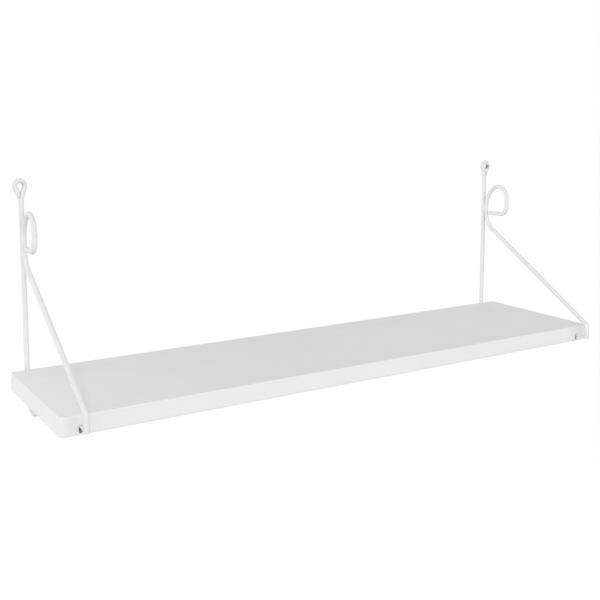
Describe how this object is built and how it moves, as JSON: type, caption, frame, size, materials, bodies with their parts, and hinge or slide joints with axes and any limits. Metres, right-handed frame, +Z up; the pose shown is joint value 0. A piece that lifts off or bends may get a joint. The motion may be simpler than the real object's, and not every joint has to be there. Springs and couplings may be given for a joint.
{
  "type": "wall shelf with brackets",
  "caption": "White board held off a wall by bent rod brackets with an eye on top, a curl, a sloping brace pinned into its front edge and a hook plugged into its underside.",
  "frame": {"origin": "on the wall plane, midway between the brackets, level with the board's top face", "axes": "+X along the board, to the right as seen from the room; +Y into the wall; +Z up"},
  "size_m": [0.8, 0.2298, 0.2905],
  "materials": {
    "board_lacquer": "satin",
    "rod_coating": "satin",
    "weld_coating": "satin"
  },
  "bodies": {
    "root": {"shelf_board": "board_lacquer", "left_wall_rod": "rod_coating", "left_brace_rod": "rod_coating", "left_front_pin": "rod_coating", "left_curl_weld_left": "weld_coating", "left_curl_weld_right": "weld_coating", "right_wall_rod": "rod_coating", "right_brace_rod": "rod_coating", "right_front_pin": "rod_coating", "right_curl_weld_left": "weld_coating", "right_curl_weld_right": "weld_coating"}
  },
  "joints": []
}
